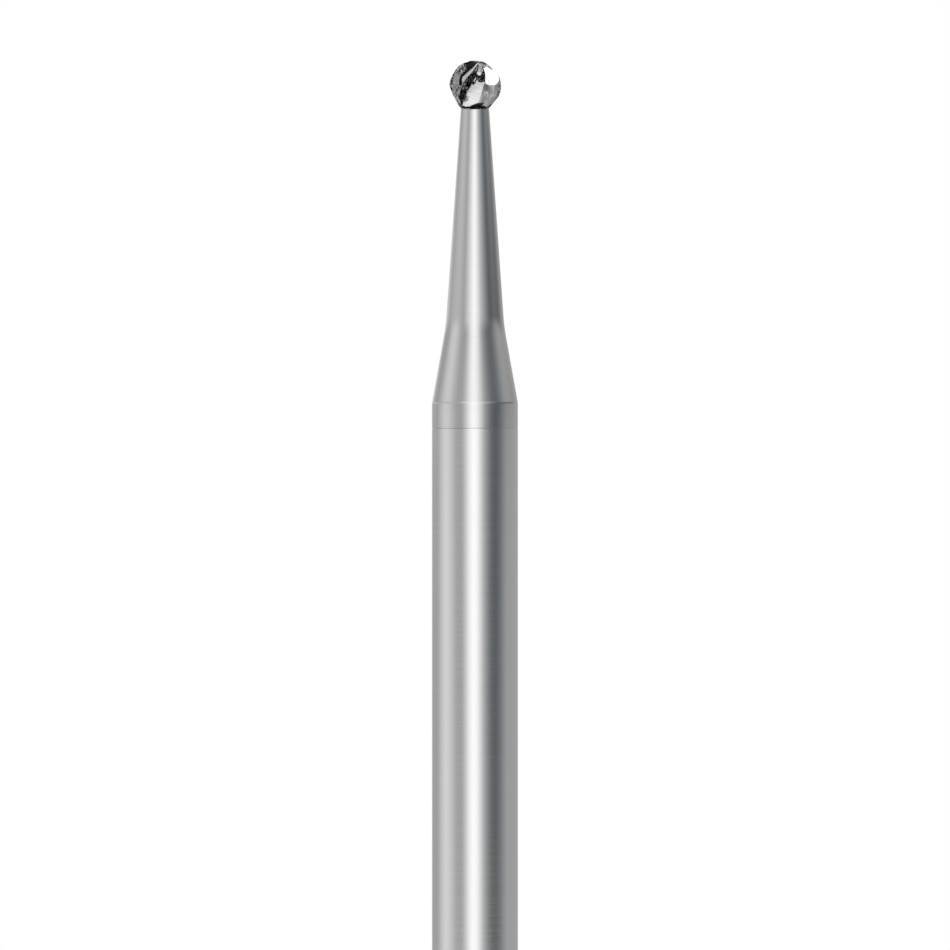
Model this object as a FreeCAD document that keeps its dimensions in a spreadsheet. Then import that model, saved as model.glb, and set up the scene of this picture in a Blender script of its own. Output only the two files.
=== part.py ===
import FreeCAD, Part
import os

import Sketcher

# A small round carbide burr for a rotary handpiece, standing on the end of its shank.
# The axis is +Z, the origin is the middle of the shank's end face, and the units are millimetres.
# It is two pieces: a carbide blank ground into ball head, neck and shoulder, and a plain steel
# shank, brazed to it end to end just below the shoulder.

# The driving sizes. Angles are in degrees.
SIZES = [
    ("overall_length", 44.5),  # the standard length of a straight handpiece shank
    ("shank_diameter", 2.35),
    ("end_chamfer", 0.2),  # on the free end of the shank
    ("band_length", 0.7),  # full-diameter carbide between the braze and the shoulder
    ("shoulder_length", 2.1),
    ("neck_root_diameter", 1.6),
    ("neck_length", 5.95),
    ("neck_tip_diameter", 0.77),
    ("head_diameter", 1.42),
    ("back_latitude", 23),  # how far below its equator the ball gives way to a cone
    ("back_length", 0.32),  # height of that cone, down to the neck
    ("blade_count", 6),
    ("flute_depth", 0.26),
    ("floor_angle", 4),  # width of a flute's floor, as an angle about the axis
    ("rake_angle", 15),  # how far each rake face leans back from the radius
    ("margin_angle", 9),  # strip of the ball left whole along each cutting edge
    ("land_angle", 31),  # width of the relieved land behind that strip
    ("land_relief", 0.08),  # how far the land has dropped at its heel
    ("land_runout", 0.01),  # how far outside the ball the land's cutter starts
    ("blade_start", 61),  # direction of one cutting edge at the ball's equator
    ("helix_angle", 19),  # lean of the cutting edges at the equator
    ("helix_growth", 40),  # degrees of latitude in which that lean grows by a factor e
    ("tip_overrun", 0.014),  # how far above the ball's tip the flutes' floors aim
]

# A flute's section is drawn at these latitudes on the ball: above the equator in degrees
# towards the tip, on the ball below it as shares of the way to the cone, and on the cone as
# shares of the way on to where the flute has run out.
BALL_LATITUDES = [0, 14, 28, 41, 54, 66, 76, 84]
BELOW_SHARES = [0.94, 0.5]
CONE_SHARES = [1, 0.53, 0.06]
PAST_RUN_OUT = 4  # degrees past the run-out at which the lowest section lies
CUTTER_REACH = 1.3  # how far out a flute's cutter reaches, in radii of the ball

# Heights in the carbide piece, measured up from the braze.
BALL_RADIUS = "sizes.head_diameter / 2"
NECK_ROOT = "sizes.band_length + sizes.shoulder_length"
NECK_TIP = NECK_ROOT + " + sizes.neck_length"
BACK_TOP = NECK_TIP + " + sizes.back_length"
BALL_CENTRE = BACK_TOP + " + sizes.head_diameter / 2 * sin(sizes.back_latitude)"
BALL_TOP = BALL_CENTRE + " + " + BALL_RADIUS
BRAZE_HEIGHT = "sizes.overall_length - (" + BALL_TOP + ")"
SHANK_RADIUS = "sizes.shank_diameter / 2"
NECK_TIP_RADIUS = "sizes.neck_tip_diameter / 2"
BACK_RADIUS = "sizes.head_diameter / 2 * cos(sizes.back_latitude)"
FLOOR_RADIUS = "(sizes.head_diameter / 2 - sizes.flute_depth)"

ORIGIN = (-1, 1)  # a sketch's own origin, as a constraint names it


def make_sheet(doc):
    """The spreadsheet of driving sizes, with one alias for each."""
    sheet = doc.addObject("Spreadsheet::Sheet", "sizes")
    for row, (name, value) in enumerate(SIZES, start=1):
        sheet.set(f"A{row}", name)
        sheet.set(f"B{row}", str(value))
        sheet.setAlias(f"B{row}", name)
    doc.recompute()
    return sheet


def origin_item(body, role):
    return next(item for item in body.Origin.OriginFeatures if item.Role == role)


def new_sketch(body, name, role):
    """An empty sketch on one of the body's own origin planes."""
    sketch = body.newObject("Sketcher::SketchObject", name)
    sketch.AttachmentSupport = [(origin_item(body, role), "")]
    sketch.MapMode = "FlatFace"
    return sketch


def point_at(sketch, corner):
    """The point that a pair of expressions, across and up, gives now."""
    across, up = (float(sketch.evalExpression(text)) for text in corner)
    return FreeCAD.Vector(across, up, 0)


def measure_off(sketch, kind, geometry, end, text):
    """Ties one end of a line or arc, across or up, to its distance from the sketch's origin."""
    value = float(sketch.evalExpression(text))
    index = sketch.addConstraint(Sketcher.Constraint(kind, *ORIGIN, geometry, end, value))
    sketch.setExpression(f"Constraints[{index}]", text)


def hold(sketch, geometry, end, corner):
    """Ties one end of a line or arc to a corner given as two expressions."""
    measure_off(sketch, "DistanceX", geometry, end, corner[0])
    measure_off(sketch, "DistanceY", geometry, end, corner[1])


def draw_polygon(sketch, corners):
    """A closed polygon, with every corner tied to its two expressions."""
    points = [point_at(sketch, corner) for corner in corners]
    for start, finish in zip(points, points[1:] + points[:1]):
        sketch.addGeometry(Part.LineSegment(start, finish), False)
    for index in range(len(corners)):
        following = (index + 1) % len(corners)
        sketch.addConstraint(Sketcher.Constraint("Coincident", index, 2, following, 1))
        hold(sketch, index, 1, corners[index])


def turn(body, name, sketch):
    """Turns a half section round the axis of its sketch."""
    feature = body.newObject("PartDesign::Revolution", name)
    feature.Profile = sketch
    feature.ReferenceAxis = (sketch, ["V_Axis"])
    feature.Angle = 360
    return feature


def make_shank(doc):
    """The steel shank: a plain ground rod with a chamfered end."""
    body = doc.addObject("PartDesign::Body", "steel_shank")
    sketch = new_sketch(body, "shank_section", "XZ_Plane")
    corners = [
        ("0", "0"),
        (SHANK_RADIUS + " - sizes.end_chamfer", "0"),
        (SHANK_RADIUS, "sizes.end_chamfer"),
        (SHANK_RADIUS, BRAZE_HEIGHT),
        ("0", BRAZE_HEIGHT),
    ]
    draw_polygon(sketch, corners)
    turn(body, "shank_turned", sketch)
    return body


def draw_blank(sketch):
    """Half the section of the carbide before its flutes: band, shoulder, neck, cone and ball."""
    corners = [
        ("0", "0"),
        (SHANK_RADIUS, "0"),
        (SHANK_RADIUS, "sizes.band_length"),
        ("sizes.neck_root_diameter / 2", NECK_ROOT),
        (NECK_TIP_RADIUS, NECK_TIP),
        (BACK_RADIUS, BACK_TOP),
    ]
    points = [point_at(sketch, corner) for corner in corners]
    for start, finish in zip(points, points[1:]):
        sketch.addGeometry(Part.LineSegment(start, finish), False)
    cone = len(points) - 2
    centre = point_at(sketch, ("0", BALL_CENTRE))
    top = point_at(sketch, ("0", BALL_TOP))
    foot = points[-1] - centre
    ball = Part.Circle(centre, FreeCAD.Vector(0, 0, 1), (top - centre).Length)
    angles = [FreeCAD.Vector(1, 0, 0).getAngle(arm) for arm in (foot, top - centre)]
    arc = sketch.addGeometry(Part.ArcOfCircle(ball, -angles[0], angles[1]), False)
    axis = sketch.addGeometry(Part.LineSegment(top, points[0]), False)
    for index in range(cone):
        sketch.addConstraint(Sketcher.Constraint("Coincident", index, 2, index + 1, 1))
    sketch.addConstraint(Sketcher.Constraint("Coincident", cone, 2, arc, 1))
    sketch.addConstraint(Sketcher.Constraint("Coincident", arc, 2, axis, 1))
    sketch.addConstraint(Sketcher.Constraint("Coincident", axis, 2, 0, 1))
    for end in (2, 3):  # the arc's upper end and its centre lie on the axis
        measure_off(sketch, "DistanceX", arc, end, "0")
    for index in range(cone + 1):
        hold(sketch, index, 1, corners[index])
    hold(sketch, cone, 2, corners[-1])
    radius = sketch.addConstraint(Sketcher.Constraint("Radius", arc, (top - centre).Length))
    sketch.setExpression(f"Constraints[{radius}]", BALL_RADIUS)


def polar(radius, azimuth):
    """A corner at a radius and an azimuth, both expressions, about the axis."""
    return (f"({radius}) * cos({azimuth})", f"({radius}) * sin({azimuth})")


def flute_section(body, name, latitude):
    """The section of one flute across the axis at a latitude of the ball.

    It is drawn with the cutting edge on the sketch's own X axis, and the sketch is turned to
    where the blade's twist has brought that edge. Where the cone is thinner than the flute's
    floor the whole section is lifted clear of it, so that the flute runs out without a step.
    """
    sketch = new_sketch(body, name, "XY_Plane")
    aim = f"({BALL_RADIUS} * sin(.latitude) / ({BALL_RADIUS} + sizes.tip_overrun))"
    back_slope = f"(({BACK_RADIUS} - {NECK_TIP_RADIUS}) / sizes.back_length)"
    back_drop = f"{BALL_RADIUS} * (sin(.latitude) + sin(sizes.back_latitude))"
    values = {
        "latitude": latitude,
        "cone_radius": f"{BACK_RADIUS} + {back_slope} * {back_drop}",
        "ring_radius": f"min({BALL_RADIUS} * cos(.latitude); .cone_radius)",
        "floor_radius": f"{FLOOR_RADIUS} * (.latitude > 0 ? sqrt(1 - {aim} ^ 2) : 1)",
        "lift": "max(.floor_radius - .ring_radius; 0)",
        "heel_radius": ".ring_radius + .lift - sizes.land_relief"
        " * (.ring_radius - .floor_radius) / sizes.flute_depth",
        "cutter_radius": f"{CUTTER_REACH} * {BALL_RADIUS}",
        "mouth_azimuth": "asin(.ring_radius * sin(sizes.rake_angle) / .cutter_radius) / 1deg"
        " - sizes.rake_angle",
        "foot_azimuth": "asin(.ring_radius * sin(sizes.rake_angle) / .floor_radius) / 1deg"
        " - sizes.rake_angle",
        "heel_azimuth": "360 / sizes.blade_count - sizes.margin_angle - sizes.land_angle",
        "edge_azimuth": ".heel_azimuth + sizes.land_angle",
    }
    for key, text in values.items():
        sketch.addProperty("App::PropertyFloat", key)
        sketch.setExpression(key, text)
        setattr(sketch, key, float(sketch.evalExpression(text)))
    corners = [
        polar(".cutter_radius", ".mouth_azimuth"),
        polar(".floor_radius", ".foot_azimuth"),
        polar(".floor_radius", ".foot_azimuth + sizes.floor_angle"),
        polar(".heel_radius", ".heel_azimuth"),
        polar(".ring_radius + .lift + sizes.land_runout", ".edge_azimuth"),
        polar(".cutter_radius", ".edge_azimuth"),
    ]
    draw_polygon(sketch, corners)
    twist = "tan(sizes.helix_angle) * sizes.helix_growth * (exp(.latitude / sizes.helix_growth) - 1)"
    height = f"{BALL_CENTRE} + {BALL_RADIUS} * sin(.latitude)"
    sketch.setExpression("AttachmentOffset.Base.z", height)
    sketch.setExpression("AttachmentOffset.Rotation.Angle", f"sizes.blade_start + {twist}")
    return sketch


def cut_flutes(body):
    """Cuts one flute by a loft through its sections, and repeats it round the axis."""
    cone_share = f"({BACK_RADIUS} - {FLOOR_RADIUS}) / ({BACK_RADIUS} - {NECK_TIP_RADIUS})"
    run_out_drop = f"({BALL_RADIUS} * sin(sizes.back_latitude) + {cone_share} * sizes.back_length)"
    run_out = f"asin({run_out_drop} / ({BALL_RADIUS})) / 1deg"
    lowest = f"({run_out} + {PAST_RUN_OUT})"
    below = "sizes.back_latitude"
    latitudes = [f"-({below} + {share} * ({lowest} - {below}))" for share in CONE_SHARES]
    latitudes += [f"-{share} * {below}" for share in BELOW_SHARES]
    latitudes += [str(degrees) for degrees in BALL_LATITUDES]
    sections = [
        flute_section(body, f"flute_section_{index}", text)
        for index, text in enumerate(latitudes, start=1)
    ]
    flute = body.newObject("PartDesign::SubtractiveLoft", "flute")
    flute.Profile = sections[0]
    flute.Sections = sections[1:]
    flute.Ruled = False
    pattern = body.newObject("PartDesign::PolarPattern", "flutes")
    pattern.Originals = [flute]
    pattern.Axis = (origin_item(body, "Z_Axis"), [""])
    pattern.Angle = 360
    pattern.setExpression("Occurrences", "sizes.blade_count")
    body.Tip = pattern


def make_carbide(doc):
    """The carbide piece, drawn up from the braze and then set on the end of the shank."""
    body = doc.addObject("PartDesign::Body", "carbide_head")
    sketch = new_sketch(body, "blank_section", "XZ_Plane")
    draw_blank(sketch)
    blank = turn(body, "blank", sketch)
    doc.recompute()
    cut_flutes(body)
    body.setExpression("Placement.Base.z", BRAZE_HEIGHT)
    doc.recompute()
    if body.Shape.Volume >= blank.Shape.Volume:
        raise RuntimeError("the flutes cut nothing")
    return body


def check(doc, pieces):
    """Stops before anything is written if an object failed or a piece isn't one sound solid."""
    for item in doc.Objects:
        if "Invalid" in item.State or "Error" in item.State:
            raise RuntimeError(f"{item.Name} failed: {item.State}")
    for piece in pieces:
        if piece.Shape.isNull() or not piece.Shape.isValid() or len(piece.Shape.Solids) != 1:
            raise RuntimeError(f"{piece.Label} isn't one sound solid")


def main():
    doc = FreeCAD.newDocument("carbide_burr")
    make_sheet(doc)
    pieces = [make_shank(doc), make_carbide(doc)]
    doc.recompute()
    check(doc, pieces)
    os.makedirs("parts", exist_ok=True)
    for piece in pieces:
        piece.Shape.exportStep(f"parts/{piece.Label}.step")
        box = piece.Shape.BoundBox
        print(f"{piece.Label}: {piece.Shape.Volume:.3f} mm3, z {box.ZMin:.3f} to {box.ZMax:.3f}")


main()
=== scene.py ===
# A small round carbide burr on its straight steel shank, dressed for a studio picture.
from math import asin, atan2, cos, degrees, hypot, pi, radians, sin, sqrt, tan

import bmesh
import bpy
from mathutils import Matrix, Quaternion, Vector, noise


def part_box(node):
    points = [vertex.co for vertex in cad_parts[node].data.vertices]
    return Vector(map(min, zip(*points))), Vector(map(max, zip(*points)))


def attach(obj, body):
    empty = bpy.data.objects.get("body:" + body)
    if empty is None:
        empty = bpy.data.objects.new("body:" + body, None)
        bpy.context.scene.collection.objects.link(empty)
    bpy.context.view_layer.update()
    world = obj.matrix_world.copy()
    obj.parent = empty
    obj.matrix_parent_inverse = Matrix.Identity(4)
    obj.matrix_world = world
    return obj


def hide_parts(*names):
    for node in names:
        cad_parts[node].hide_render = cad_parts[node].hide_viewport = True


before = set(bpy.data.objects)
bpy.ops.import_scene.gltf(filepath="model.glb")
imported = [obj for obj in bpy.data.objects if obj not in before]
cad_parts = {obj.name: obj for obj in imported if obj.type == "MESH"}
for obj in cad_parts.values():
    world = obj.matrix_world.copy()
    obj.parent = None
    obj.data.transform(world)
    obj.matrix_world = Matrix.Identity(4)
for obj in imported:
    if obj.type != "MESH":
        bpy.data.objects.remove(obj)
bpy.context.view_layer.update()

mm = 0.001  # lengths below are in millimetres and angles in degrees, and the meshes are in metres


# small helpers

def makeObject(name, bm):
    mesh = bpy.data.meshes.new(name)
    bm.to_mesh(mesh)
    bm.free()
    piece = bpy.data.objects.new(name, mesh)
    bpy.context.scene.collection.objects.link(piece)
    return piece


def dressPiece(piece, node, slot, *materials):
    for material in materials:
        piece.data.materials.append(material)
    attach(piece, "root")
    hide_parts(node)


def extendRings(bm, edges, profile):  # carries an open rim on through radii and heights
    for radius, height in profile:
        made = bmesh.ops.extrude_edge_only(bm, edges=edges)["geom"]
        edges = [item for item in made if isinstance(item, bmesh.types.BMEdge)]
        for vert in {vert for edge in edges for vert in edge.verts}:
            share = radius * mm / hypot(vert.co.x, vert.co.y)
            vert.co = (vert.co.x * share, vert.co.y * share, height * mm)
    return edges


def finishNormals(bm, sharpAngle=28):
    bmesh.ops.recalc_face_normals(bm, faces=bm.faces[:])
    for face in bm.faces:
        face.smooth = True
    for edge in bm.edges:
        edge.smooth = edge.calc_face_angle(0) < radians(sharpAngle)


def smoothShare(value, low, high):  # eases from 0 at low to 1 at high
    share = min(max((value - low) / (high - low), 0), 1)
    return share * share * (3 - 2 * share)


def towards(azimuth, elevation):  # azimuth 0 faces the viewer, and 90 the right
    flat = cos(radians(elevation))
    return Vector((flat * sin(radians(azimuth)), -flat * cos(radians(azimuth)), sin(radians(elevation))))


# the steel shank

shank = {
    "radius": 1.175,
    "endChamfer": 0.2,
    "seamChamfer": 0.012,  # on both pieces, so that the braze shows as a fine groove
    "columns": 256,
}


def buildShank():
    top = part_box("steel_shank")[1].z / mm
    endRadius = shank["radius"] - shank["endChamfer"]
    bm = bmesh.new()
    bmesh.ops.create_circle(bm, cap_ends=True, segments=shank["columns"], radius=endRadius * mm)
    bmesh.ops.reverse_faces(bm, faces=bm.faces[:])  # the end face looks down
    profile = [
        (shank["radius"], shank["endChamfer"]),
        (shank["radius"], top - shank["seamChamfer"]),
        (shank["radius"] - shank["seamChamfer"], top),
    ]
    rim = extendRings(bm, bm.edges[:], profile)
    bmesh.ops.contextual_create(bm, geom=rim)
    finishNormals(bm)
    return makeObject("steelShank", bm)


# the blank of the carbide head: ball, neck, shoulder and band

blank = {
    "ballRadius": 0.71,
    "backLatitude": 23,  # below this the ball gives way to a cone
    "backLength": 0.32,
    "backBlend": 0.05,  # rounds the line between the ball and that cone
    "blendDrop": 0.15,  # and stops this far below it, because the two meet again at the neck
    "neckTipRadius": 0.385,
    "neckLength": 5.95,
    "neckRootRadius": 0.8,
    "shoulderLength": 2.1,
    "bandLength": 0.7,
    "rootBlend": 0.26,  # half the height of the hollow blend at the neck's root
    "shoulderBlend": 0.04,  # and of the rounded one at the foot of the shoulder
    "blendRings": 8,
    "rings": 180,  # from pole to pole of the unit sphere that it starts from
    "lastRing": 58,  # latitude below its equator that becomes the top of the neck
}
backTop = -blank["ballRadius"] * sin(radians(blank["backLatitude"]))  # heights over the ball's centre
neckTop = backTop - blank["backLength"]


def blankRadius(rise):  # at that height over the ball's centre
    backRadius = blank["ballRadius"] * cos(radians(blank["backLatitude"]))
    widening = (backRadius - blank["neckTipRadius"]) / blank["backLength"]
    sphere = sqrt(max(blank["ballRadius"] ** 2 - rise ** 2, 0))
    cone = backRadius + widening * (rise - backTop)
    if rise < backTop - blank["blendDrop"]:
        return min(sphere, cone)
    near = max(1 - abs(sphere - cone) / blank["backBlend"], 0)
    return min(sphere, cone) - near * near * blank["backBlend"] / 4


def placeOnBlank(height):  # where a height on the unit sphere goes: latitude on the ball, and rise
    latitude = degrees(asin(max(min(height, 1), -1)))
    if latitude >= -blank["backLatitude"]:
        return latitude, blank["ballRadius"] * sin(radians(latitude))
    share = (-latitude - blank["backLatitude"]) / (blank["lastRing"] - blank["backLatitude"])
    rise = backTop - share * blank["backLength"]
    return degrees(asin(rise / blank["ballRadius"])), rise


def blankProfile(centre):  # radii and heights from the foot of the neck down to the braze
    tip = centre + neckTop
    root = tip - blank["neckLength"]
    foot = root - blank["shoulderLength"]
    braze = foot - blank["bandLength"]
    corners = [
        (blank["neckTipRadius"], tip, 0),
        (blank["neckRootRadius"], root, blank["rootBlend"]),
        (shank["radius"], foot, blank["shoulderBlend"]),
        (shank["radius"], braze, 0),
    ]
    profile = []
    for before, (radius, height, reach), after in zip(corners, corners[1:], corners[2:]):
        inSlope = (radius - before[0]) / (before[1] - height)
        outSlope = (after[0] - radius) / (height - after[1])
        for step in range(blank["blendRings"] + 1):
            share = step / blank["blendRings"]
            along = reach * (2 * share - 1)  # down through the blend
            bend = (outSlope - inSlope) * reach * share * share
            profile.append((radius + inSlope * along + bend, height - along))
    profile.append((shank["radius"], braze + shank["seamChamfer"]))
    profile.append((shank["radius"] - shank["seamChamfer"], braze))
    return profile


# the six flutes, as the grinder left them on this one burr

rakeFace, gulletFloor, slope, land, grooveIn, grooveOut, margin = range(7)  # parts, from edge to edge
farLeft, leftBlade, frontBlade, rightBlade, farRight = range(1, 6)  # blade 0 is at the back

flutes = {
    "count": 6,
    "depth": 0.26,
    "rakeAngle": 15,
    "leastRake": 1.5,  # angle that the rake face keeps where a flute runs out
    "floorAngle": 3.5,
    "landAngle": 32,
    "landRelief": 0.08,
    "grooveAngle": 3.5,  # the narrow step behind each margin
    "grooveDepth": 0.03,
    "marginAngle": 9,
    "columns": (12, 6, 14, 16, 3, 3, 6),  # of faces in each part
    "start": 61,  # where the first edge crosses the equator, counted from +X
    "helixAngle": 11,
    "tipOverrun": 0.014,  # how far above the ball's top the floors would meet
    "lean": 26,  # how far the point where the blades meet lies off the axis
    "leanTowards": -72,  # counted from +X, so that -90 faces the viewer
    "leanTop": 60,  # the latitude where the lean is whole
    "gulletDepth": (1, 1, 1, 1, 0.45, 1),  # share of the depth that each blade has
    "merged": (0, 0, 0, 0, 0.3, 0),  # how far its slope and land have become one plane
    "mergedHeel": 0.47,  # where their corner then lies between the floor and the land's end
    "edgeShift": (0, 0, -10, 0, 0, 0),  # the grinder's own error in the spacing of the blades
    "topShift": (0, 0, -18, 0, 0, 0),  # and the rest of it above the equator
    "tailDrift": (0, 0, -6, -20, 8, 2),  # how far each blade's tail strays from the helix
    "pitting": 0.014,  # how deep the pits are where the gullets carry painted shade
    "pitSize": 0.055,
    "chipping": 0.008,  # nicks along the cutting edges
    "chipSize": 0.05,
}
perBlade = sum(flutes["columns"])

nick = {  # a worn place on the blade at the left
    "azimuth": -99,
    "elevation": -20,
    "reach": 24,
    "depth": 0.07,
    "marginDepth": 0.04,  # the most that it takes off a margin
}

facet = {  # a flat ground across the right blade, painted bright as a highlight
    "azimuth": 43,
    "elevation": 33.5,
    "distance": 0.815,  # from the ball's centre, in radii
    "edgeFade": (-0.02, 0.03),  # how far outside and inside its edge the painted highlight sets in
    "gulletKept": 0.4,  # share of the gullet's depth that is left in it
    "parts": {  # that it crosses
        frontBlade: (grooveOut, margin),
        rightBlade: (rakeFace, margin),
        farRight: (rakeFace, slope),
    },
    "tipEnd": (69, 71),  # latitudes where it ends, so that the point of the next blade stands clear
    "cornerAngle": (44, 46),  # and where it takes a corner off the front blade's land
    "cornerLatitude": (46, 50),
    "lessHighlightShare": 0.4,  # less of the painted highlight on its lower end
    "lessHighlightHeight": (0.02, 0.32),  # in radii over the centre, where that fades out
}


def fluteCorners(rise, blade):  # angles and radii of the corners between the parts
    rim = blankRadius(rise)
    floor = blank["ballRadius"] - flutes["depth"]
    if rise > 0:
        floor *= sqrt(max(1 - (rise / (blank["ballRadius"] + flutes["tipOverrun"])) ** 2, 0))
    floor = max(floor, 1e-5)
    room = max(rim - floor, 0) / flutes["depth"]  # 1 at the equator, and 0 where the flute has run out
    rake = flutes["rakeAngle"]
    foot = max(degrees(asin(min(rim * sin(radians(rake)) / floor, 1))) - rake, flutes["leastRake"])
    pitch = 360 / flutes["count"]
    floorEnd = foot + flutes["floorAngle"]
    landEnd = pitch - flutes["marginAngle"]
    landAt = landEnd - flutes["grooveAngle"]
    grooveAt = landEnd - flutes["grooveAngle"] / 3
    heelAt = landEnd - flutes["landAngle"]
    heel = rim - flutes["landRelief"] * room
    landTop = rim - flutes["landRelief"] * room * flutes["grooveAngle"] / flutes["landAngle"]
    groove = rim - flutes["grooveDepth"] * room
    merged, mergedHeel = flutes["merged"][blade], flutes["mergedHeel"]
    heelAt += (floorEnd + (landAt - floorEnd) * mergedHeel - heelAt) * merged
    heel += (floor + (landTop - floor) * mergedHeel - heel) * merged
    return [
        (0, rim), (foot, floor), (floorEnd, floor), (heelAt, heel),
        (landAt, landTop), (grooveAt, groove), (landEnd, rim), (pitch, rim),
    ]


def sectionPoint(rise, column, blade):  # angle from the blade's edge, radius, and part
    part = 0
    while column >= flutes["columns"][part]:
        column -= flutes["columns"][part]
        part += 1
    share = column / flutes["columns"][part]
    (startAngle, startRadius), (endAngle, endRadius) = fluteCorners(rise, blade)[part : part + 2]
    if part == margin:  # this one keeps to the ball, and the others run straight
        return startAngle + (endAngle - startAngle) * share, blankRadius(rise), part
    startX, startY = startRadius * cos(radians(startAngle)), startRadius * sin(radians(startAngle))
    endX, endY = endRadius * cos(radians(endAngle)), endRadius * sin(radians(endAngle))
    x, y = startX + (endX - startX) * share, startY + (endY - startY) * share
    return degrees(atan2(y, x)), min(hypot(x, y), blankRadius(rise)), part


def fluteTwist(latitude):
    return flutes["start"] + tan(radians(flutes["helixAngle"])) * latitude


def strayed(angle, latitude, blade):  # how far a spot lies off the even helix
    share = angle * flutes["count"] / 360
    after = (blade + 1) % flutes["count"]
    shift, rest, drift = (
        flutes[error][blade] * (1 - share) + flutes[error][after] * share
        for error in ("edgeShift", "topShift", "tailDrift")
    )
    return shift + rest * smoothShare(latitude, 0, 30) + drift * smoothShare(-latitude, -5, 35)


def leanOver(spot, latitude):  # tips the blades, more and more towards their point
    sideways = radians(flutes["leanTowards"] + 90)
    share = smoothShare(latitude, -blank["backLatitude"], flutes["leanTop"])
    spot.rotate(Quaternion((cos(sideways), sin(sideways), 0), radians(flutes["lean"]) * share))


def nickAt(spot):  # how much is worn away
    aside = degrees(spot.angle(towards(nick["azimuth"], nick["elevation"])))
    return nick["depth"] * (1 - smoothShare(aside, 0, nick["reach"]))


def facetShare(spot, angle, latitude, part, blade):  # 1 well inside the facet, and its radius here
    direction = spot.normalized()
    distance = facet["distance"]
    reach = max(direction.dot(towards(facet["azimuth"], facet["elevation"])), 0.1)
    first, last = facet["parts"].get(blade, (margin, rakeFace))  # no part of the other blades
    wanted = float(first <= part <= last)
    if blade == frontBlade and part == land:
        wanted = smoothShare(angle, *facet["cornerAngle"])
        wanted *= smoothShare(latitude, *facet["cornerLatitude"])
    if blade == farRight or blade == rightBlade and part > land:
        wanted *= 1 - smoothShare(latitude, *facet["tipEnd"])
    radius = blank["ballRadius"] * (1 + (min(distance / reach, 1) - 1) * wanted)
    outside, inside = facet["edgeFade"]
    share = wanted * smoothShare(reach, distance + outside, distance + inside)
    low = 1 - smoothShare(direction.z, *facet["lessHighlightHeight"])
    return share * (1 - facet["lessHighlightShare"] * low), radius


# painted shade and painted highlight on the head: dark tones where it lies in shade or reflects dark,
# brighter tones where highlights fall

# levels: 2 is solid painted shade, 1 flecked painted shade, 0.3 half painted shade, 0 plain ground metal
# and -1 painted highlight
# angles are counted from the blade's cutting edge, and latitudes from the ball's equator
paintedShade = {
    "gullet": (0.9, 0.7, 1.0, 1.0, 0.0, 0.8),  # how much painted shade each blade's gullet has
    "gulletLevel": 1.15,
    "gulletLower": 0.5,  # and more below the equator
    "gulletEnd": 12.5,  # angle from the edge
    "gulletSpread": (4, 2, 6, 14, 0, 3),  # how much further it goes above the equator
    "top": (50, 50, 54, 90, 74, 60),  # the latitude where the cap of painted shade begins on each blade
    "topLevel": 1.9,
    "groove": (0.6, 0.6, 0.0, 0.1, 0.6, 0.6),  # painted shade in the narrow step behind each margin
    "wideGroove": 1.75,  # painted shade along a line on the left blade
    "leftEdge": 1.3,
    "leftEdgeWidth": 3,
    "wedge": 1.6,  # painted shade under the point where the blades meet
}

shadePatches = [  # patches of painted shade; above and below give latitudes over which one sets in or ends, after and before angles
    {"blade": farLeft, "parts": (grooveOut, margin), "level": 0.8},
    {"blade": leftBlade, "parts": (rakeFace, margin), "level": 0.32, "below": (-10, 16)},
    {"blade": leftBlade, "parts": (rakeFace, margin), "level": 0.62, "after": (46, 50), "below": (4, 18)},
    {"blade": leftBlade, "parts": (margin, margin), "level": 1.9, "before": (53, 55), "above": (54, 66)},
    {"blade": frontBlade, "parts": (slope, grooveOut), "level": 0.28, "above": (49, 56)},
    {"blade": frontBlade, "parts": (slope, grooveOut), "level": 0.42, "before": (20, 27),
     "above": (-42, -34), "below": (-30, -18)},
    {"blade": frontBlade, "parts": (margin, margin), "level": 0.25, "below": (-30, -12)},
    {"blade": rightBlade, "parts": (rakeFace, margin), "level": 0.25, "below": (-30, -12)},
    {"blade": rightBlade, "parts": (land, margin), "level": 0.8, "after": (36, 42),
     "above": (-40, -24), "below": (0, 8)},
    {"blade": rightBlade, "parts": (grooveIn, margin), "level": 0.7, "above": (0, 8), "below": (26, 32)},
    {"blade": rightBlade, "parts": (grooveIn, margin), "level": 1.65, "above": (68, 71)},
]

shadeRing = {  # of painted shade where the ball meets the neck
    "level": 1.68,
    "top": -53.5,  # latitude of its upper edge
    "topOnLand": 11.5,  # and how much higher that lies on each land
    "topAtEdge": 3,
    "dip": 0.045,  # how far it runs down the neck in front
    "lift": 0.06,  # and how far up the cone it ends at the sides
    "fade": 0.012,
    "neckRings": 6,  # of faces that carry it on the neck
    "neckRoom": 0.072,  # and how far down they go
}


# painted shade at a spot of the head, the darkest of all the dark tones laid there
def paintedShadeAt(angle, latitude, part, blade):
    paintedShades = [gulletShade(angle, latitude, blade), ringShade(angle, latitude)]
    if part < margin:
        top = paintedShade["top"][blade]
        paintedShades.append(paintedShade["topLevel"] * smoothShare(latitude, top - 2, top + 2))
    if part in (grooveIn, grooveOut):
        paintedShades.append(paintedShade["groove"][blade])
    if blade == leftBlade:
        paintedShades.append(leftBladeShade(angle, latitude, part))
    if blade == frontBlade and gulletFloor < part < margin:
        paintedShades.append(wedgeShade(angle, latitude))
    for patch in shadePatches:
        first, last = patch["parts"]
        if patch["blade"] == blade and first <= part <= last:
            paintedShades.append(patchShade(patch, angle, latitude))
    return max(paintedShades)


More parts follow.
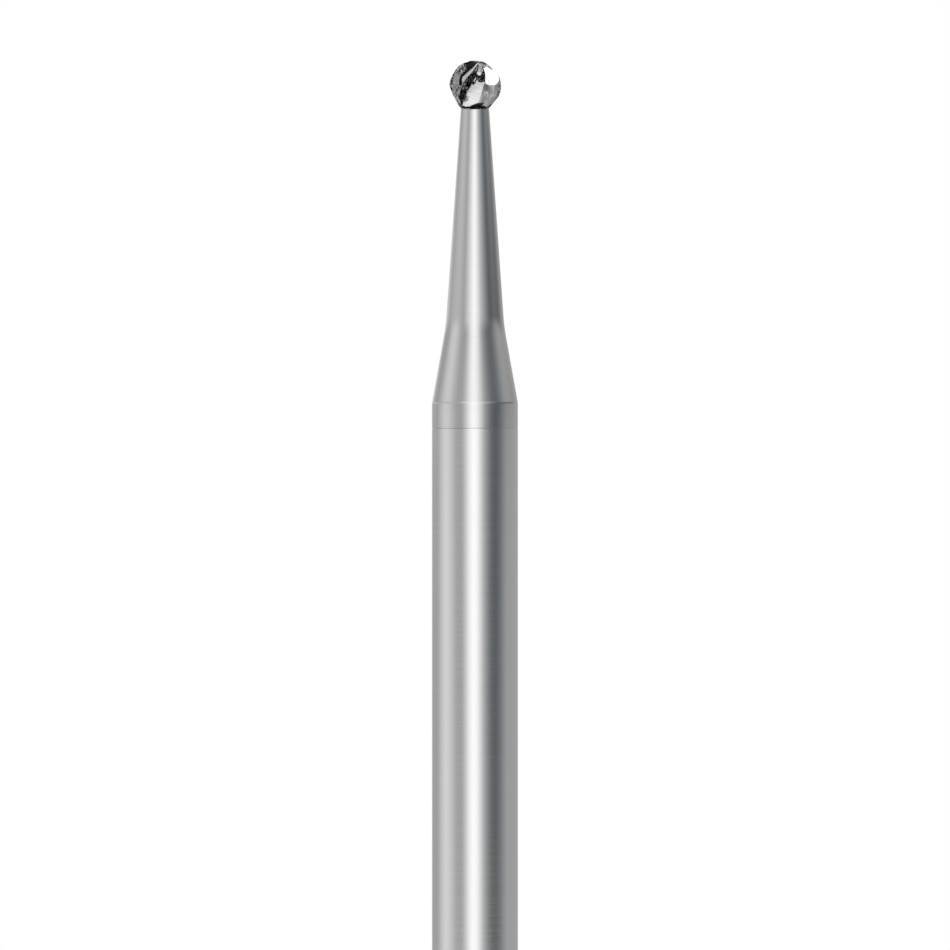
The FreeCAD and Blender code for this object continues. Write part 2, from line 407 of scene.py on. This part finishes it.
# painted shade in the gullets, the hollows between the blades
def gulletShade(angle, latitude, blade):
    spread = paintedShade["gulletSpread"][blade] * smoothShare(latitude, 0, 9)
    spread *= 1 - smoothShare(latitude, 36, 62)
    narrowed = 4 * smoothShare(-latitude, 0, 12) + 2 * smoothShare(-latitude, 20, 34)
    end = paintedShade["gulletEnd"] + spread - narrowed
    level = paintedShade["gulletLevel"] + paintedShade["gulletLower"] * smoothShare(-latitude, 0, 14)
    level *= paintedShade["gullet"][blade] * smoothShare(angle, -0.2, 1.5)
    level *= 1 - smoothShare(angle, end - 1.5, end + 1.5)
    if blade == frontBlade:  # thinner beside the point
        level *= 1 - 0.4 * smoothShare(latitude, 36, 48)
    return level


def leftBladeShade(angle, latitude, part):  # painted shade along a line, along the edge and over the upper flank of the left blade
    middle = 47.5 + 5 * (1 - smoothShare(latitude, 8, 36))
    half = 3.4 + 0.8 * smoothShare(latitude, 25, 50)
    groove = paintedShade["wideGroove"] * smoothShare(latitude, -2, 5)
    groove *= 1 - smoothShare(abs(angle - middle), half - 0.4, half + 0.4)
    edge = paintedShade["leftEdge"] if angle < paintedShade["leftEdgeWidth"] else 0
    skimmed = 0
    if rakeFace < part < grooveOut:
        skimmed = smoothShare(latitude, 27, 34) + 0.4 * smoothShare(latitude, 40, 50)
    return max(groove, edge, skimmed)


def wedgeShade(angle, latitude):  # painted shade under the point of the blades; its foot has two slopes, and its top rises with the angle
    low = 15.5 + 0.3 * max(angle - 36, 0) + 1.1 * max(36 - angle, 0)
    high = 42 + 15 * smoothShare(angle, 32, 40)
    level = paintedShade["wedge"] * smoothShare(latitude, low - 1, low + 1)
    return level * (1 - smoothShare(latitude, high - 1, high + 1))


# painted shade of one patch, faded in and out by latitude and angle
def patchShade(patch, angle, latitude):
    level = patch["level"]
    for start, end, value in (("above", "below", latitude), ("after", "before", angle)):
        if start in patch:
            level *= smoothShare(value, *patch[start])
        if end in patch:
            level *= 1 - smoothShare(value, *patch[end])
    return level


# painted shade on the cone under the ball
def ringShade(angle, latitude):
    top = shadeRing["top"] + shadeRing["topOnLand"] * smoothShare(angle, 22, 50)
    top += shadeRing["topAtEdge"] * (1 - smoothShare(angle, 8, 16))
    return shadeRing["level"] * (1 - smoothShare(latitude, top - 1, top + 1))


def shadeRingShare(spot, down):  # 1 above the lower edge of the painted-shade ring, which reaches lowest on the side facing the camera; down is counted from the neck's top
    facing = sqrt(max(-spot.y / hypot(spot.x, spot.y), 0))
    reach = (shadeRing["dip"] + shadeRing["lift"]) * facing - shadeRing["lift"]
    return 1 - smoothShare(down, reach - shadeRing["fade"], reach + shadeRing["fade"])


def paintedHighlightAt(latitude, part, blade):  # painted highlight: how much brighter the metal tone is painted
    if part == margin:
        return smoothShare(latitude, 12, 22)
    if blade == frontBlade and part in (slope, land):
        return 0.9 * smoothShare(-latitude, -8, 30)
    if blade == rightBlade:
        return 0.4 if part < land else 0.1
    return 0


# the head itself

def grindSpot(latitude, rise, blade, column):  # a spot of the ball about its centre, and its level of painted shade or painted highlight
    angle, radius, part = sectionPoint(rise, column, blade)
    rim = blankRadius(rise)
    depth = (rim - radius) * flutes["gulletDepth"][blade]
    turn = angle + blade * 360 / flutes["count"] + fluteTwist(latitude) + strayed(angle, latitude, blade)
    turn = radians(turn)
    spot = Vector(((rim - depth) * cos(turn), (rim - depth) * sin(turn), rise))
    darkShade = paintedShadeAt(angle, latitude, part, blade)
    if rise < 0:
        darkShade *= shadeRingShare(spot, neckTop - rise)
    pits = noise.fractal(spot / flutes["pitSize"], 0.8, 2.1, 3) * flutes["pitting"]
    pits *= min(darkShade, 1) * smoothShare(depth, 0.0, 0.03)
    chips = 0
    if column in (0, perBlade - 1):  # on both sides of the cutting edge, but not at the point
        chips = max(noise.noise(spot / flutes["chipSize"] + Vector((7, 3, 1))), 0) * flutes["chipping"]
        chips *= 1 - smoothShare(latitude, 70, 80)
    radius = min(rim - depth + pits, rim) - chips - min(nickAt(spot), depth + nick["marginDepth"])
    spot = Vector((radius * cos(turn), radius * sin(turn), rise))
    leanOver(spot, latitude)
    # painted shade, less painted highlight where the shade is light
    level = darkShade - max(1 - 3 * darkShade, 0) * paintedHighlightAt(latitude, part, blade)
    flat, facetRadius = facetShare(spot, angle, latitude, part, blade)
    if facetRadius < blank["ballRadius"]:
        sunk = (blank["ballRadius"] - spot.length) * (1 - (1 - facet["gulletKept"]) * flat)
        spot *= (facetRadius - sunk) / spot.length
    # inside the facet the level turns to painted highlight
    return spot, level - (1 + level) * flat


def layFlutes(bm, uvLayer):  # one unit across for each blade, and about as long a unit along them
    pitch = 360 / flutes["count"]
    for face in bm.faces:
        middle = face.calc_center_median()
        around = degrees(atan2(middle.y, middle.x)) % 360
        for loop in face.loops:
            x, y, z = loop.vert.co
            turn = degrees(atan2(y, x)) % 360
            turn += 360 * round((around - turn) / 360)
            loop[uvLayer].uv = (turn / pitch, degrees(asin(max(min(z, 1), -1))) / pitch)


def paintNeckShade(bm, rim, paintedShadeAndHighlight):  # the top of the neck, down to where the painted-shade ring ends in front
    widening = (blank["neckRootRadius"] - blank["neckTipRadius"]) / blank["neckLength"]
    top = rim[0].verts[0].co.z / mm
    for step in range(1, shadeRing["neckRings"] + 1):
        down = shadeRing["neckRoom"] * step / shadeRing["neckRings"]
        rim = extendRings(bm, rim, [(blank["neckTipRadius"] + widening * down, top - down)])
        for vert in {vert for edge in rim for vert in edge.verts}:
            vert[paintedShadeAndHighlight] = shadeRing["level"] * shadeRingShare(vert.co, down)
    return rim


def buildHead():
    columns = perBlade * flutes["count"]
    bm = bmesh.new()
    bmesh.ops.create_uvsphere(bm, u_segments=columns, v_segments=blank["rings"], radius=1)
    cut = -sin(radians(blank["lastRing"]))
    everything = bm.verts[:] + bm.edges[:] + bm.faces[:]
    bmesh.ops.bisect_plane(bm, geom=everything, plane_co=(0, 0, cut), plane_no=(0, 0, -1), clear_outer=True)
    paintedShadeAndHighlight = bm.verts.layers.float.new("paintedShadeAndHighlight")
    layFlutes(bm, bm.loops.layers.uv.new("flutes"))
    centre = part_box("carbide_head")[1].z / mm - blank["ballRadius"]
    for vert in bm.verts:
        latitude, rise = placeOnBlank(vert.co.z)
        turn = degrees(atan2(vert.co.y, vert.co.x)) % 360
        blade, column = divmod(round(turn / 360 * columns) % columns, perBlade)
        spot, vert[paintedShadeAndHighlight] = grindSpot(latitude, rise, blade, column)
        vert.co = (spot + Vector((0, 0, centre))) * mm
    ball = set(bm.faces)
    rim = paintNeckShade(bm, [edge for edge in bm.edges if edge.is_boundary], paintedShadeAndHighlight)
    rim = extendRings(bm, rim, blankProfile(centre))
    bmesh.ops.contextual_create(bm, geom=rim)
    for face in bm.faces:
        face.material_index = 0 if face in ball else 1
    finishNormals(bm)
    return makeObject("carbideHead", bm)


# finishes

steelLook = {
    "tone": 0.72,
    "toneSwing": 0.02,
    "roughness": 0.18,
    "roughSwing": 0.035,
    "linePitch": 0.05,  # of the fine rings that the grinder left
    "lineShare": 0.6,  # of the tone's swing, and the streaks have the rest
    "streakWidth": 0.2,
}
neckLook = {
    "tone": 0.68,
    "toneSwing": 0.02,
    "roughness": 0.17,
    "linePitch": 0.05,
    "lineStrength": 0.06,
}
bladeLook = {
    "tone": 0.52,
    "toneSwing": 0.2,
    "roughness": 0.3,
    "lineTurn": -40,  # across the blades
    "lineSize": (0.6, 0.045),  # long and wide, in blades
    "lineStrength": 0.4,
}
# tones of the painted shade with its flecks, and of the painted highlight
paintedLightLook = {
    "tone": 0.006,
    "roughness": 0.5,
    "speckTone": 0.7,
    "speckSize": 0.05,
    "speckRange": (0.49, 0.58),  # of the noise that makes them
    "speckEnd": (1.2, 1.75),  # levels over which the flecked painted shade turns solid
    "edge": (0.4, 0.6),  # and over which ground metal turns to painted shade
    "edgeSpread": 0.25,  # how ragged that is
    "halfShadeTone": 0.24,
    "halfShadeLevel": 0.3,
    "brightTone": (0.84, 0.98),
    "brightRoughness": 0.2,
}
lineHeight = 0.003
alongLine = 50  # a metre, so slow that each line goes right round
alongStreak = 30
noiseRange = (0.3, 0.7)  # nearly all of the noise lies between these
noiseMiddle = (0.35, 0.65)  # and most of it between these


def addNode(tree, kind, settings=None, values=None):
    node = tree.nodes.new(kind)
    for key, value in (settings or {}).items():
        setattr(node, key, value)
    for key, value in (values or {}).items():
        if isinstance(value, bpy.types.NodeSocket):
            tree.links.new(value, node.inputs[key])
        else:
            node.inputs[key].default_value = value
    return node


def maths(tree, operation, *values):
    return addNode(tree, "ShaderNodeMath", {"operation": operation}, dict(enumerate(values))).outputs[0]


def mapRange(tree, value, low, high, toLow=0.0, toHigh=1.0, kind="SMOOTHSTEP"):
    values = {"Value": value, "From Min": low, "From Max": high, "To Min": toLow, "To Max": toHigh}
    return addNode(tree, "ShaderNodeMapRange", {"interpolation_type": kind}, values).outputs[0]


def stretchedNoise(tree, place, scale, detail):
    mapped = addNode(tree, "ShaderNodeMapping", {}, {"Vector": place, "Scale": scale}).outputs[0]
    values = {"Vector": mapped, "Scale": 1.0, "Detail": detail}
    return addNode(tree, "ShaderNodeTexNoise", {}, values).outputs[0]


def mixColours(tree, share, first, second):  # each is a colour, a grey level or a socket
    first, second = ((part,) * 3 + (1,) if isinstance(part, float) else part for part in (first, second))
    values = {"Factor": share, "A": first, "B": second}
    return addNode(tree, "ShaderNodeMix", {"data_type": "RGBA"}, values).outputs["Result"]


def mixTones(tree, share, look):
    swing = look["toneSwing"]
    return mixColours(tree, share, look["tone"] * (1 - swing), look["tone"] * (1 + swing))


def startMaterial(name):
    material = bpy.data.materials.new(name)
    material.use_nodes = True
    tree = material.node_tree
    return material, tree, tree.nodes["Principled BSDF"]


def makeSteel():
    look = steelLook
    material, tree, shader = startMaterial("groundSteel")
    place = addNode(tree, "ShaderNodeTexCoord").outputs["Object"]
    across = 1 / (look["streakWidth"] * mm)
    lines = stretchedNoise(tree, place, (alongLine, alongLine, 1 / (look["linePitch"] * mm)), 3.0)
    streaks = stretchedNoise(tree, place, (across, across, alongStreak), 2.0)
    lined = maths(tree, "MULTIPLY", lines, look["lineShare"])
    both = maths(tree, "MULTIPLY_ADD", streaks, 1 - look["lineShare"], lined)
    tone = mixTones(tree, mapRange(tree, both, *noiseMiddle), look)
    tree.links.new(tone, shader.inputs["Base Color"])
    smoothest = look["roughness"] - look["roughSwing"]
    roughest = look["roughness"] + look["roughSwing"]
    tree.links.new(mapRange(tree, lines, *noiseRange, smoothest, roughest), shader.inputs["Roughness"])
    shader.inputs["Metallic"].default_value = 1
    return material


def grindingLines(tree, look, place):
    if "linePitch" in look:  # rings round the neck
        return stretchedNoise(tree, place, (alongLine, alongLine, 1 / (look["linePitch"] * mm)), 3.0)
    around = addNode(tree, "ShaderNodeUVMap", {"uv_map": "flutes"}).outputs[0]
    turn = (0, 0, radians(look["lineTurn"]))
    values = {"Vector": around, "Rotation": turn, "Scale": look["lineSize"] + (1,)}
    turned = addNode(tree, "ShaderNodeMapping", {"vector_type": "TEXTURE"}, values).outputs[0]
    return stretchedNoise(tree, turned, (1, 1, 1), 4.0)


def makeCarbide(name, look):
    material, tree, shader = startMaterial(name)
    # the attribute holds painted shade above 0 and painted highlight below 0
    paintedShadeAndHighlight = addNode(tree, "ShaderNodeAttribute", {"attribute_name": "paintedShadeAndHighlight"}).outputs["Fac"]
    place = addNode(tree, "ShaderNodeTexCoord").outputs["Object"]
    specks = stretchedNoise(tree, place, (1 / (paintedLightLook["speckSize"] * mm),) * 3, 3.0)
    lines = grindingLines(tree, look, place)
    lined = mapRange(tree, lines, *noiseRange)
    spread = paintedLightLook["edgeSpread"]
    ragged = mapRange(tree, specks, *noiseMiddle, -spread, spread, "LINEAR")
    shaded = mapRange(tree, maths(tree, "ADD", paintedShadeAndHighlight, ragged), *paintedLightLook["edge"])
    highlightShare = mapRange(tree, paintedShadeAndHighlight, 0.0, -1.0, 0.0, 1.0, "LINEAR")
    halfShade = mapRange(tree, paintedShadeAndHighlight, 0.0, paintedLightLook["halfShadeLevel"])
    ground = mixColours(tree, halfShade, mixTones(tree, lined, look), paintedLightLook["halfShadeTone"])
    ground = mixColours(tree, highlightShare, ground, mixColours(tree, lined, *paintedLightLook["brightTone"]))
    fewer = mapRange(tree, paintedShadeAndHighlight, *paintedLightLook["speckEnd"], 1, 0)
    flecked = maths(tree, "MULTIPLY", mapRange(tree, specks, *paintedLightLook["speckRange"]), fewer)
    darkShade = mixColours(tree, flecked, paintedLightLook["tone"], paintedLightLook["speckTone"])
    tree.links.new(mixColours(tree, shaded, ground, darkShade), shader.inputs["Base Color"])
    shader.inputs["Metallic"].default_value = 1
    rough = mapRange(tree, highlightShare, 0.0, 1.0, look["roughness"], paintedLightLook["brightRoughness"], "LINEAR")
    rough = maths(tree, "MAXIMUM", rough, maths(tree, "MULTIPLY", shaded, paintedLightLook["roughness"]))
    tree.links.new(rough, shader.inputs["Roughness"])
    values = {"Height": lines, "Strength": look["lineStrength"], "Distance": lineHeight * mm}
    tree.links.new(addNode(tree, "ShaderNodeBump", {}, values).outputs[0], shader.inputs["Normal"])
    return material


# the studio

studio = {
    "room": 0.45,
    "cards": {  # azimuth and elevation as the burr sees them, half width, half height, level, soft share
        "frontStrip": (-6, 5, 33, 140, 0.8, 1),
        "frontSpill": (8, -4, 34, 75, 0.24, 1),
        "leftPanel": (-84, 3, 42, 60, 0.46, 1),
        "rightFlag": (54, 5, 46, 90, -0.33, 1),
        "neckFlag": (100, 6, 48, 6, -0.38, 1),
        "neckGlow": (34, 10, 36, 9, 0.3, 1),
        "neckFlagLeft": (-84, 7, 34, 7, -0.34, 1),
        "neckGlowLeft": (-32, 11, 22, 9, 0.32, 1),
        "neckPanel": (-148, 4, 42, 4, 0.36, 1),
        "highBox": (85, 54, 98, 30, 1.0, 0.3),
        "backBox": (180, 62, 80, 40, 0.2, 0.5),
    },
    "darkest": 0.02,
    "backdropAside": (164, 174),  # azimuths over which the backdrop sets in
    "backdropHigh": (30, 45),  # and elevations over which it ends
    "coolTint": (0.94, 1.0, 1.05, 1),  # the right side of the room is a little bluer
    "coolAzimuth": 60,
    "coolAside": (15, 40),
    "coolHigh": (20, 35),
    "lampSize": 300,
    "lampHeight": 400,
    "lampWatts": 0.3,
    "floorRadius": 130,
    "floorSolid": 70,  # the floor fades out past this
    "floorLook": {"tone": 0.86, "toneSwing": 0.01},
    "floorGrain": 900,  # a metre
}


def cardLevel(tree, azimuth, elevation, card):  # a card adds its level to the room, or takes it away
    cardAzimuth, cardElevation, halfWidth, halfHeight, level, soft = card
    aside = maths(tree, "WRAP", maths(tree, "SUBTRACT", azimuth, cardAzimuth), 180, -180)
    above = maths(tree, "SUBTRACT", elevation, cardElevation)
    across = mapRange(tree, maths(tree, "ABSOLUTE", aside), halfWidth * (1 - soft), halfWidth, 1, 0)
    upright = mapRange(tree, maths(tree, "ABSOLUTE", above), halfHeight * (1 - soft), halfHeight, 1, 0)
    return maths(tree, "MULTIPLY", maths(tree, "MULTIPLY", across, upright), level)


def makeWorld():
    world = bpy.data.worlds.new("studio")
    bpy.context.scene.world = world
    world.use_nodes = True
    tree = world.node_tree
    tree.nodes.clear()
    looked = addNode(tree, "ShaderNodeTexCoord").outputs["Generated"]
    x, y, z = addNode(tree, "ShaderNodeSeparateXYZ", values={0: looked}).outputs
    azimuth = maths(tree, "DEGREES", maths(tree, "ARCTAN2", x, maths(tree, "MULTIPLY", y, -1)))
    elevation = maths(tree, "DEGREES", maths(tree, "ARCSINE", z))
    level = studio["room"]
    for card in studio["cards"].values():
        level = maths(tree, "ADD", cardLevel(tree, azimuth, elevation, card), level)
    level = maths(tree, "MAXIMUM", level, studio["darkest"])

    high = maths(tree, "ABSOLUTE", elevation)
    fromCool = maths(tree, "ABSOLUTE", maths(tree, "SUBTRACT", azimuth, studio["coolAzimuth"]))
    cool = mapRange(tree, fromCool, *studio["coolAside"], 1, 0)
    cool = maths(tree, "MULTIPLY", cool, mapRange(tree, high, *studio["coolHigh"], 1, 0))
    colour = mixColours(tree, cool, (1, 1, 1, 1), studio["coolTint"])

    behind = mapRange(tree, maths(tree, "ABSOLUTE", azimuth), *studio["backdropAside"])
    behind = maths(tree, "MULTIPLY", behind, mapRange(tree, high, *studio["backdropHigh"], 1, 0))
    rays = addNode(tree, "ShaderNodeLightPath").outputs
    shiny = maths(tree, "MAXIMUM", rays["Is Glossy Ray"], rays["Is Transmission Ray"])
    seen = maths(tree, "MAXIMUM", rays["Is Camera Ray"], maths(tree, "MULTIPLY", shiny, behind))
    room = addNode(tree, "ShaderNodeBackground", values={"Color": colour, "Strength": level})
    backdrop = addNode(tree, "ShaderNodeBackground", values={"Color": (1, 1, 1, 1), "Strength": 1.0})
    values = {0: seen, 1: room.outputs[0], 2: backdrop.outputs[0]}
    mixed = addNode(tree, "ShaderNodeMixShader", values=values)
    addNode(tree, "ShaderNodeOutputWorld", values={"Surface": mixed.outputs[0]})


def makeFloor():
    bm = bmesh.new()
    bmesh.ops.create_circle(bm, cap_ends=True, segments=96, radius=studio["floorRadius"] * mm)
    floor = makeObject("floor", bm)
    material, tree, shader = startMaterial("paleFloor")
    shader.inputs["Roughness"].default_value = 0.9
    shader.inputs["Specular IOR Level"].default_value = 0.1
    place = addNode(tree, "ShaderNodeTexCoord").outputs["Object"]
    grain = stretchedNoise(tree, place, (studio["floorGrain"],) * 3, 3.0)
    tree.links.new(mixTones(tree, grain, studio["floorLook"]), shader.inputs["Base Color"])
    away = addNode(tree, "ShaderNodeVectorMath", {"operation": "LENGTH"}, {0: place}).outputs["Value"]
    solid = mapRange(tree, away, studio["floorSolid"] * mm, studio["floorRadius"] * mm, 1, 0)
    tree.links.new(solid, shader.inputs["Alpha"])
    floor.data.materials.append(material)


def makeLamp():
    data = bpy.data.lights.new("overhead", "AREA")
    data.shape = "DISK"
    data.size = studio["lampSize"] * mm
    data.energy = studio["lampWatts"]
    lamp = bpy.data.objects.new("overhead", data)
    lamp.location = (0, 0, studio["lampHeight"] * mm)
    lamp.visible_glossy = False  # the metal sees the room instead
    bpy.context.scene.collection.objects.link(lamp)


camera = {"lens": 200, "distance": 144.2, "height": 33.175}


def makeCamera():
    data = bpy.data.cameras.new("camera")
    data.lens = camera["lens"]
    data.clip_start = 1 * mm
    view = bpy.data.objects.new("camera", data)
    view.location = (0, -camera["distance"] * mm, camera["height"] * mm)
    view.rotation_euler = (pi / 2, 0, 0)
    bpy.context.scene.collection.objects.link(view)
    bpy.context.scene.camera = view
    bpy.context.scene.view_settings.view_transform = "Standard"


makeCamera()
makeWorld()
makeFloor()
makeLamp()
print("studio ready")
steelShank = buildShank()
dressPiece(steelShank, "steel_shank", "steel", makeSteel())
print("shank built")
carbideHead = buildHead()
blades, neck = makeCarbide("flutedCarbide", bladeLook), makeCarbide("groundCarbide", neckLook)
dressPiece(carbideHead, "carbide_head", "carbide", blades, neck)
print("head built")
